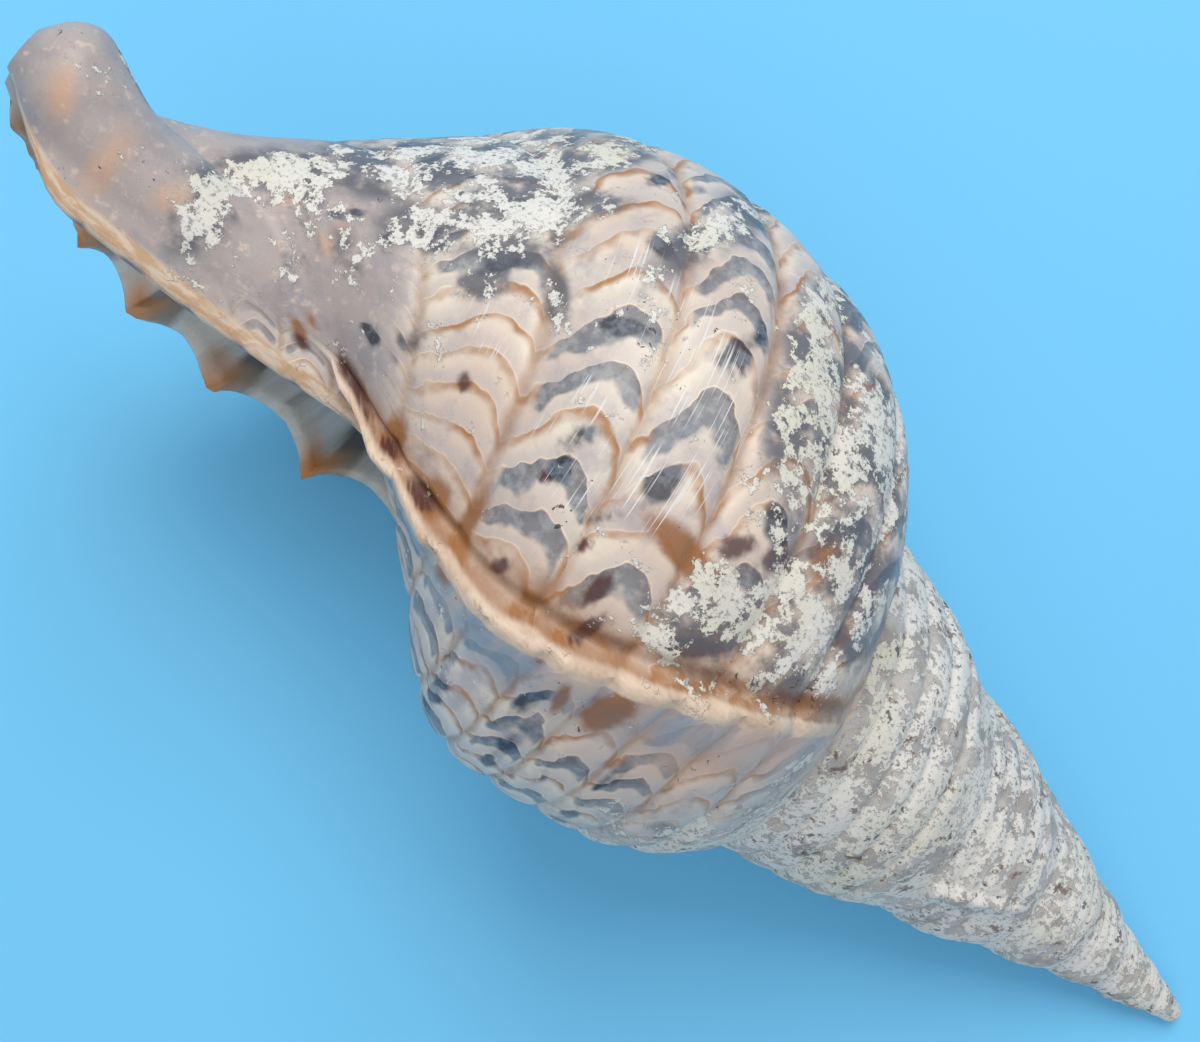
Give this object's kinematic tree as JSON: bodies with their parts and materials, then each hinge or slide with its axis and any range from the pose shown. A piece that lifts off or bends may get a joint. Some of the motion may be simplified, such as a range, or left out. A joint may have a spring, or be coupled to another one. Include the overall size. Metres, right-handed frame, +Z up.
{
  "type": "triton shell",
  "caption": "Large spiral sea snail shell lying on its side, with a tall pointed spire, ribbed last whorl, raised varices, toothed flared lip and bent canal.",
  "frame": {"origin": "middle of the shell's box in plan, on the surface that it rests on", "axes": "+Z up, the canal's end towards -X and the spire's tip towards +X, the aperture's open side towards -Y"},
  "size_m": [0.3308, 0.1286, 0.135],
  "materials": {
    "shell": "weathered shell, satin where clean and chalky where crusted"
  },
  "bodies": {
    "root": {"triton_shell": "shell"}
  },
  "joints": []
}
